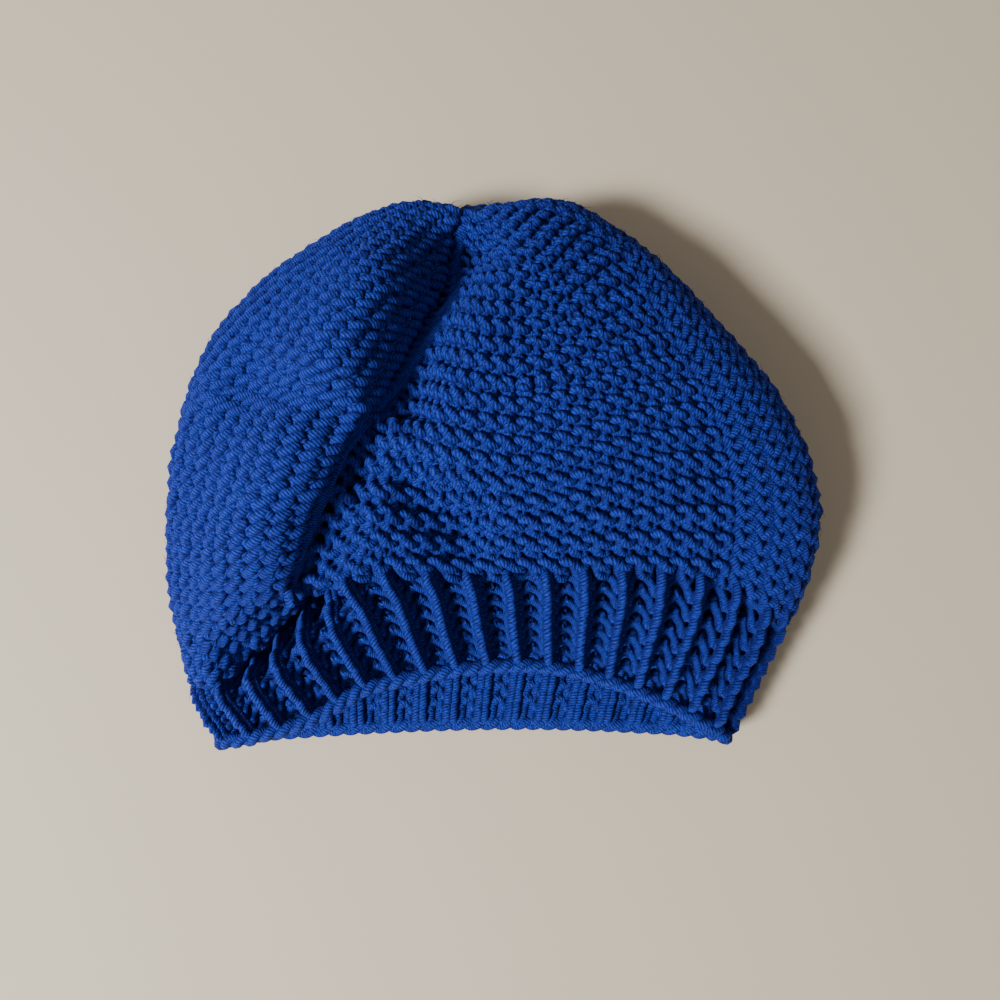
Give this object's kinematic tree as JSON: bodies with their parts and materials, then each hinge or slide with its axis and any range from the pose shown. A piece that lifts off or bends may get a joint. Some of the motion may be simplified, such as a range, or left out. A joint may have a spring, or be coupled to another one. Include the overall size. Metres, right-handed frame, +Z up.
{
  "type": "beanie",
  "caption": "Slouchy hand-knitted beanie lying flat with its front up: a ribbed brim, a puffed crown drawn together at the top, and an open hollow for the head.",
  "frame": {"origin": "on the floor, below the middle of the hat's outline as it lies", "axes": "+X across the hat, +Y from the mouth of the brim to the top of the crown, +Z up from the floor"},
  "size_m": [0.2478, 0.213, 0.068],
  "materials": {
    "blue_yarn": "thick plied wool-type yarn, soft and matt"
  },
  "bodies": {
    "root": {"ribbed_brim": "blue_yarn", "crown": "blue_yarn"}
  },
  "joints": []
}
